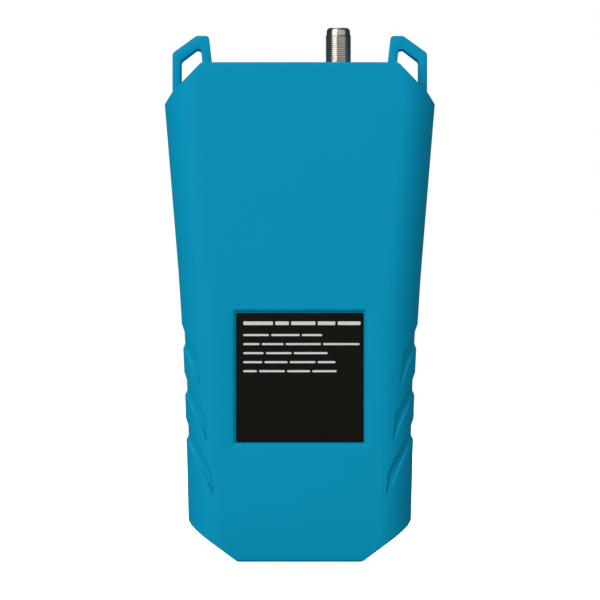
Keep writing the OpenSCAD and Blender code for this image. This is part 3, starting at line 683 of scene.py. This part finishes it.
def frontShell():
    bm, outerTag = shell(frontShape, lambda z: frontY, halfWidth)
    pressScallops(bm, outerTag, scallopShape)
    piece = meshObject("frontShell", bm)
    past = frontPanel["past"]
    behind = frontShape["inside"] - past
    window = roundedRect(0, lensZ, *frontPanel["window"], frontPanel["windowCorner"])
    panel = insetOutline(frontPanel["rim"])
    combine(piece, plateTool(panel, floorY, frontY + past, frontPanel["flare"]))
    combine(piece, plateTool(lensPocket(), lensLow.y, frontY))
    combine(piece, plateTool(window, behind, frontY))
    combine(piece, openingTools(behind, frontY))
    combine(piece, topOpenings())
    return piece


addPiece(frontShell(), [mouldedBlueAbs], replaces=["front_shell"])


def overlaySheet():
    edge = frontPanel["filmEdge"]
    behind = floorY - frontPanel["past"]
    whole = insetOutline(frontPanel["rim"] + frontPanel["filmGap"])
    crown = insetOutline(frontPanel["rim"] + frontPanel["filmGap"] + edge)
    bm = bmesh.new()
    bridge(bm, [atY(whole, floorY), atY(whole, faceY - edge), atY(crown, faceY)])
    piece = meshObject("overlaySheet", bm)
    combine(piece, plateTool(lensPocket(), behind, frontY))
    combine(piece, openingTools(behind, frontY))
    return piece


addPiece(overlaySheet(), [satinOverlayFilm], replaces=["front_overlay"])
print("front shell and overlay done")


# a flat plate with rounded corners, and a bevel round its face that swells a little
def bevelledPlate(name, z, w, h, corner, back, face, edge):
    deep, bulge = abs(face - back), 0.3 * edge
    rings = []
    for out, along in ((0, 0), (0, 1 - edge / deep), (-bulge, 1 - bulge / deep), (-edge, 1)):
        points = roundedRect(0, z, w + 2 * out, h + 2 * out, corner + out)
        rings.append(atY(points, back + (face - back) * along))
    bm = bmesh.new()
    bridge(bm, rings)
    return meshObject(name, bm)


lens = bevelledPlate("displayLens", lensZ, lensW, lensH, frontPanel["lensCorner"],
                     lensLow.y, lensHigh.y, frontPanel["lensEdge"])
# the bevel is shaded sharp, so that the face mirrors as a flat one
addPiece(lens, [polishedAcrylic], replaces=["display_lens"], sharp=15)


# a flat frame between two outlines
def flatFrame(bm, outer, inner, y0, y1):
    bridge(bm, [atY(outer, y0), atY(outer, y1), atY(inner, y1), atY(inner, y0)], wrap=True)


maskShape = {
    "edge": 0.35, "corner": 2.2, "opening": (69, 52), "openingCorner": 0.6,
    "lift": 0.05, "film": 0.05,   # from the back of the lens, and thickness
}
maskY = lensLow.y + maskShape["lift"]
maskW, maskH = lensW - 2 * maskShape["edge"], lensH - 2 * maskShape["edge"]
bm = bmesh.new()
flatFrame(bm, roundedRect(0, lensZ, maskW, maskH, maskShape["corner"]),
          roundedRect(0, lensZ, *maskShape["opening"], maskShape["openingCorner"]),
          maskY, maskY + maskShape["film"])
addPiece(meshObject("lensMask", bm), [maskInk])

pipeShape = {"dome": 0.35, "flange": (16.5, 17.35)}   # the flange from and to, along Y
flangeBack, flangeFront = pipeShape["flange"]
pipeProfile = [(pipeRadius, pipeLow.y), (pipeRadius, flangeBack), (pipeHead / 2, flangeBack),
               (pipeHead / 2, flangeFront), (pipeRadius, flangeFront),
               (pipeRadius, pipeHigh.y - pipeShape["dome"])]
for a in (25, 50, 75):
    a = math.radians(a)
    pipeProfile.append((pipeRadius * math.cos(a), pipeHigh.y - pipeShape["dome"] * (1 - math.sin(a))))
bm = bmesh.new()
for x in pipeXs:
    bridge(bm, [atY(circle(x, pipeZ, r, pipeSteps), y) for r, y in pipeProfile])
addPiece(meshObject("lightPipes", bm), [milkyAcrylic], replaces=["light_pipes"])
print("lens, mask and light pipes done")


# letters made bolder: each point of an outline moves out from the two walls that meet there
def thicken(mesh, d):
    letters = bmesh.new()
    letters.from_mesh(mesh)
    bmesh.ops.remove_doubles(letters, verts=letters.verts[:], dist=0.001)
    bmesh.ops.recalc_face_normals(letters, faces=letters.faces[:])
    moves = []
    for vert in letters.verts:
        walls = [face.normal.copy() for face in vert.link_faces if len(face.verts) == 4]
        if len(walls) == 2:
            moves.append((vert, d * (walls[0] + walls[1]) / (1 + walls[0].dot(walls[1]))))
    for vert, step in moves:
        vert.co += step
    flat = [face for face in letters.faces if len(face.verts) == 3]
    inner = [edge for edge in letters.edges if all(len(face.verts) == 3 for face in edge.link_faces)]
    bmesh.ops.beautify_fill(letters, faces=flat, edges=inner)
    letters.to_mesh(mesh)
    letters.free()


# flat lettering, read from the front: its own x runs to -X and its y to +Z
def lettering(bm, text, x, y, z, size, material):
    curve = bpy.data.curves.new("lettering", "FONT")
    curve.body, curve.size, curve.align_x, curve.align_y = text, size, "CENTER", "CENTER"
    curve.extrude = keyShape["legendProud"]
    curve.space_character = keyShape["spacing"]
    curve.resolution_u = 6
    holder = bpy.data.objects.new("lettering", curve)
    scene.collection.objects.link(holder)
    bpy.context.view_layer.update()
    mesh = bpy.data.meshes.new_from_object(holder.evaluated_get(bpy.context.evaluated_depsgraph_get()))
    thicken(mesh, keyShape["bold"])
    spans = [[v.co[k] for v in mesh.vertices] for k in (0, 1)]
    midX, midY = ((min(span) + max(span)) / 2 for span in spans)
    mesh.transform(Matrix(((-1, 0, 0, x + midX), (0, 0, 1, y), (0, 1, 0, z - midY), (0, 0, 0, 1))))
    start = len(bm.faces)
    bm.from_mesh(mesh)
    bm.faces.ensure_lookup_table()
    for face in bm.faces[start:]:
        face.material_index = material
    bpy.data.objects.remove(holder)
    bpy.data.meshes.remove(mesh)


# signs on the keys without letters, as outlines in key millimetres: x to the reader's right, y up
signs = {
    "up": [[(-2, -1.1), (2, -1.1), (0, 1.3)]],
    "down": [[(-2, 1.1), (0, -1.3), (2, 1.1)]],
    "left": [[(1.1, -2), (1.1, 2), (-1.3, 0)]],
    "right": [[(-1.1, -2), (1.3, 0), (-1.1, 2)]],
    "menu": [[(-2, y - 0.25), (2, y - 0.25), (2, y + 0.25), (-2, y + 0.25)] for y in (-1.1, 0, 1.1)],
    "exit": [[(-2.2, 0), (-0.9, -1.1), (-0.9, 1.1)],
             [(-0.9, -0.28), (2, -0.28), (2, 1.1), (1.45, 1.1), (1.45, 0.28), (-0.9, 0.28)]],
}
# the star is three bars across each other
bar = [(-1.3, -0.22), (1.3, -0.22), (1.3, 0.22), (-1.3, 0.22)]
turned = [(math.cos(math.radians(a)), math.sin(math.radians(a))) for a in (30, 90, 150)]
signs["star"] = [[(c * px - s * py, s * px + c * py) for px, py in bar] for c, s in turned]
words = {"f1": "F1", "f2": "F2", "f3": "F3", "f4": "F4", "ok": "OK", "hash": "#"}
blueKeys = {"f1", "f2", "f3", "f4", "ok"}


def keyCap(name):
    low, high = boxMm("key_" + name)
    x, z, w, h = keyOpening(name)
    lip, edge, gap, r = (keyShape[key] for key in ("lip", "lipBreak", "gap", "round"))
    lipTop = low.y + keyShape["lipHeight"]
    top = high.y - keyShape["crown"] - keyShape["legendProud"]
    steps = [(lip, low.y), (lip, lipTop - edge), (lip - edge, lipTop), (-gap, lipTop), (-gap, top - r)]
    for a in (30, 60, 90):
        a = math.radians(a)
        steps.append((-gap - r * (1 - math.cos(a)), top - r * (1 - math.sin(a))))
    reach = min(w, h) / 2 - gap - r
    for part in (0.35, 0.7):   # up the crown
        rise = keyShape["crown"] * math.sin(part * math.pi / 2)
        steps.append((-gap - r - part * reach, top + rise))
    bm = bmesh.new()
    bridge(bm, [atY(keyOutline(name, s), y) for s, y in steps])
    proud = high.y - keyShape["legendProud"]
    if name in signs:
        for sign in signs[name]:
            points = [(x - p[0], z + p[1]) for p in sign]
            bridge(bm, [atY(points, proud - keyShape["legendDeep"]), atY(points, high.y)], material=1)
    else:
        lettering(bm, words.get(name, name), x, proud, z, keyShape["textSize"], 1)
    piece = meshObject("keyCap_" + name, bm)
    blue = name in blueKeys
    rubber = lacqueredSiliconeBlue if blue else lacqueredSiliconeGrey
    addPiece(piece, [rubber, screenInk if blue else maskInk], "key_" + name, ["key_" + name])


for name in keyNames:
    keyCap(name)
print("keys done:", len(keyNames))

labelShape = {"corner": 0.4, "edge": 0.1}
label = bevelledPlate("ratingLabel", (labelLow.z + labelHigh.z) / 2, labelHigh.x - labelLow.x,
                      labelHigh.z - labelLow.z, labelShape["corner"], labelHigh.y, labelLow.y,
                      labelShape["edge"])
addPiece(label, [printedLabelFilm], replaces=["rating_label"], sharp=15)

labelPrint = {
    "left": -21, "top": 88.8, "pitch": 3.36, "firstStep": 4.4,
    "ink": 0.02, "sunk": 0.05,   # how far the ink stands proud, and how far it reaches in
    "height": 0.75, "headHeight": 1.35, "space": 0.9, "corner": 0.25, "cornerSteps": 3,
    # lengths of the marks in each row, in mm
    "rows": [[11, 5, 9, 6.5, 8.5], [9.5, 10.5, 7.5], [6, 8, 13, 13.5], [7.5, 9.5, 12.5],
             [7, 8.5, 9.5, 6.5], [5, 9.5, 8.5, 9]],
}


# rows of plain marks on the label
def printRows():
    bm = bmesh.new()
    y0, y1 = labelLow.y + labelPrint["sunk"], labelLow.y - labelPrint["ink"]
    corner, steps = labelPrint["corner"], labelPrint["cornerSteps"]
    z = labelPrint["top"]
    for k, row in enumerate(labelPrint["rows"]):
        x = labelPrint["left"]
        h = labelPrint["headHeight"] if k == 0 else labelPrint["height"]
        for length in row:
            points = roundedRect(x + length / 2, z, length, h, corner, steps)
            bridge(bm, [atY(points, y0), atY(points, y1)])
            x += length + labelPrint["space"]
        z -= labelPrint["firstStep"] if k == 0 else labelPrint["pitch"]
    return meshObject("labelPrint", bm)


addPiece(printRows(), [screenInk])
print("label done")

overlayPrint = {
    "ink": 0.02, "sunk": 0.05,   # how far the ink stands proud, and how far it reaches in
    "line": 0.5, "lensMargin": 1.6, "lensCorner": 3.6, "navRadius": 17.3, "navSteps": 96,
    "mark": (4, 0.7), "markCorner": 0.3, "markSteps": 3, "markDrop": 3.4,
}


# lines printed on the overlay: round the lens and the arrow keys, and a mark under each light
def overlayLines():
    bm = bmesh.new()
    y0, y1 = faceY - overlayPrint["sunk"], faceY + overlayPrint["ink"]
    line, margin, corner = (overlayPrint[key] for key in ("line", "lensMargin", "lensCorner"))
    inner = margin - line
    flatFrame(bm, roundedRect(0, lensZ, lensW + 2 * margin, lensH + 2 * margin, corner),
              roundedRect(0, lensZ, lensW + 2 * inner, lensH + 2 * inner, corner - line), y0, y1)
    navX, navZ = keyOpening("ok")[:2]
    r, steps = overlayPrint["navRadius"], overlayPrint["navSteps"]
    flatFrame(bm, circle(navX, navZ, r, steps), circle(navX, navZ, r - line, steps), y0, y1)
    for x in pipeXs:
        points = roundedRect(x, pipeZ - overlayPrint["markDrop"], *overlayPrint["mark"],
                             overlayPrint["markCorner"], overlayPrint["markSteps"])
        bridge(bm, [atY(points, y0), atY(points, y1)])
    return meshObject("overlayLines", bm)


addPiece(overlayLines(), [screenInk])

socketShape = {
    "bore": 3.2, "mouth": 0.35,   # radius, and bevel at its mouth
    "shank": 4.5, "flange": 5.5, "flangeHeight": 2,
    "nose": 4.35, "noseBase": 4.47, "noseHeight": 2.6, "noseRound": 1.2,   # the nose tapers a little
    "thread": 4.7625, "pitch": 25.4 / 32, "threadDepth": 0.3,
    "crest": 0.5,      # share of the pitch that the flat crest takes
    "threadBase": 0.2, "noseGap": 0.25, "shankGap": 0.1,   # over the case, and to the nose and the shank
    "runOut": 0.5, "runIn": 0.3, "leastThread": 0.2,       # how the thread fades at its ends
    "rowsPerTurn": 12, "steps": 64,
}


# the threaded barrel, turned about its axis, with a real helix on the outside
def antennaSocket():
    shape = socketShape
    low, high = boxMm("antenna_socket")
    x, y = (low.x + high.x) / 2, (low.y + high.y) / 2
    threadLow, threadHigh = caseTop + shape["threadBase"], high.z - shape["noseHeight"]
    bore, mouth = shape["bore"], shape["mouth"]
    profile = [(bore, low.z), (bore, high.z - mouth), (bore + mouth, high.z)]
    r = shape["noseRound"]
    for a in (90, 70, 50, 30, 10, 0):
        a = math.radians(a)
        profile.append((shape["nose"] - r + r * math.cos(a), high.z - r + r * math.sin(a)))
    profile.append((shape["noseBase"], threadHigh + shape["noseGap"]))
    rows = math.ceil((threadHigh - threadLow) / shape["pitch"] * shape["rowsPerTurn"])
    threadRows = [threadHigh - (threadHigh - threadLow) * k / rows for k in range(rows + 1)]
    flangeTop = low.z + shape["flangeHeight"]
    after = [(shape["shank"], threadLow - shape["shankGap"]), (shape["shank"], flangeTop),
             (shape["flange"], flangeTop), (shape["flange"], low.z)]

    def threadRadius(z, turn):
        wave = abs(((z / shape["pitch"] - turn) % 1) - 0.5) * 2   # 0 at the root, 1 at the crest
        wave = min(1, wave / (1 - shape["crest"]))
        start = (z - threadLow) / shape["runIn"] + shape["leastThread"]
        fade = min(1, (threadHigh - z) / shape["runOut"], start)
        return shape["thread"] - shape["threadDepth"] * (1 - wave * fade)

    turns = [i / shape["steps"] for i in range(shape["steps"])]
    rings = [atZ(circle(x, y, radius, shape["steps"]), z) for radius, z in profile]
    for z in threadRows:
        rings.append([(x + threadRadius(z, t) * math.cos(2 * math.pi * t),
                       y + threadRadius(z, t) * math.sin(2 * math.pi * t), z) for t in turns])
    rings += [atZ(circle(x, y, radius, shape["steps"]), z) for radius, z in after]
    bm = bmesh.new()
    bridge(bm, rings, wrap=True)
    return meshObject("antennaSocket", bm)


addPiece(antennaSocket(), [platedNickel], replaces=["antenna_socket"], sharp=40)

sliderShape = {
    "halfDepth": 1.5, "foot": 1.2, "knob": 4, "ridges": 4, "ridge": 0.35,
    "ridgeParts": (0.25, 0.6, 0.85),   # shares of the pitch where a ridge is up, goes down and is down
}


# foot and knob in one profile across X, with grip ridges on top
def switchSlider():
    low, high = boxMm("switch_slider")
    x = (low.x + high.x) / 2
    half, knob = (high.x - low.x) / 2, sliderShape["knob"] / 2
    knee = low.z + sliderShape["foot"]
    groove = high.z - sliderShape["ridge"]
    profile = [(-half, low.z), (-half, knee), (-knob, knee), (-knob, groove)]
    wide = 2 * knob / sliderShape["ridges"]
    up, over, down = sliderShape["ridgeParts"]
    for k in range(sliderShape["ridges"]):
        left = -knob + k * wide
        profile += [(left + wide * up, high.z), (left + wide * over, high.z),
                    (left + wide * down, groove)]
    profile += [(knob, groove), (knob, knee), (half, knee), (half, low.z)]
    deep = sliderShape["halfDepth"]
    bm = bmesh.new()
    bridge(bm, [[(x + p, partY + y, z) for p, z in profile] for y in (-deep, deep)])
    return meshObject("switchSlider", bm)


addPiece(switchSlider(), [mouldedRedAbs], "slider", ["switch_slider"])
print("socket and switch done")

stageShape = {
    "radius": 4.0, "gap": 0.3,   # in metres, and in mm under the base
    "segments": 96,
    "white": "#f6f6f6", "rough": 0.9, "glow": 0.96,
}


def paperFloor():
    bm = bmesh.new()
    bmesh.ops.create_circle(bm, cap_ends=True, radius=stageShape["radius"] / mm,
                            segments=stageShape["segments"])
    floor = meshObject("paperFloor", bm)
    floor.location.z = -stageShape["gap"] * mm
    # matt white card that also glows, so that the meter's shadow stays faint
    material = bpy.data.materials.new("whiteCard")
    material.use_nodes = True
    tree = material.node_tree
    tree.nodes.clear()
    shader = addNode(tree, "ShaderNodeBsdfPrincipled", None,
                     {"Base Color": linear(stageShape["white"]), "Roughness": stageShape["rough"],
                      "Emission Color": (1, 1, 1, 1), "Emission Strength": stageShape["glow"]})
    addNode(tree, "ShaderNodeOutputMaterial", None, {"Surface": shader.outputs[0]})
    floor.data.materials.append(material)
    floor.visible_diffuse = False
    floor.visible_glossy = False
    floor.visible_transmission = False


paperFloor()

lightAim = Vector((0, 0, 0.1))   # in metres
lightShape = {
    # place in metres, width and height in metres, power in watts, whether it shows in reflections
    "key": ((-0.965, -1.28, 0.92), (1.4, 1.7), 28, True),
    "fill": ((0.94, -1.5, 0.41), (2.6, 2.6), 15, True),
    "top": ((-0.2, 0, 1.7), (1.0, 1.0), 3, True),
    "front": ((-0.3, 1.75, 0.85), (1.1, 1.1), 21, False),
    "frontFill": ((0.1, 1.85, 0.15), (1.2, 1.2), 7, False),
    "leftSide": ((-1.65, 0.3, 0.4), (0.9, 0.9), 3.5, False),
    "rightSide": ((1.55, 0.95, 0.5), (0.9, 0.9), 3, False),
}


def softLights():
    for name, (place, size, power, mirrored) in lightShape.items():
        light = bpy.data.lights.new(name, "AREA")
        light.shape = "RECTANGLE"
        light.size, light.size_y = size
        light.energy = power
        holder = bpy.data.objects.new(name, light)
        holder.location = place
        holder.rotation_euler = (lightAim - Vector(place)).to_track_quat("-Z", "Y").to_euler()
        holder.visible_glossy = mirrored
        scene.collection.objects.link(holder)


softLights()

# white to the camera, dim as ambient light, and darker still in reflections
worldShape = {"seen": 1.0, "ambient": 0.21, "mirrored": 0.05}
world = bpy.data.worlds.new("whiteRoom")
scene.world = world
world.use_nodes = True
world.node_tree.nodes.clear()
path = addNode(world.node_tree, "ShaderNodeLightPath")
seen, ambient, mirrored = (
    addNode(world.node_tree, "ShaderNodeBackground", None,
            {"Color": (1, 1, 1, 1), "Strength": worldShape[name]})
    for name in ("seen", "ambient", "mirrored"))
room = addNode(world.node_tree, "ShaderNodeMixShader", None,
               {0: path.outputs["Is Glossy Ray"], 1: ambient.outputs[0], 2: mirrored.outputs[0]})
room = addNode(world.node_tree, "ShaderNodeMixShader", None,
               {0: path.outputs["Is Camera Ray"], 1: room.outputs[0], 2: seen.outputs[0]})
addNode(world.node_tree, "ShaderNodeOutputWorld", None, {"Surface": room.outputs[0]})

cameraShape = {
    "lens": 400, "frame": 223.8, "frameY": -15.7,   # in mm; the picture is frame wide at frameY
    "x": 0.08, "z": 97.45,
}
camera = bpy.data.cameras.new("camera")
camera.lens = cameraShape["lens"]
camera.clip_start, camera.clip_end = 0.01, 50
viewer = bpy.data.objects.new("camera", camera)
away = cameraShape["frame"] * camera.lens / camera.sensor_width
viewer.location = (cameraShape["x"] * mm, (cameraShape["frameY"] - away) * mm, cameraShape["z"] * mm)
viewer.rotation_euler = (math.radians(90), 0, 0)
scene.collection.objects.link(viewer)
scene.camera = viewer
scene.view_settings.view_transform = "Standard"
print("stage, lights and camera done")
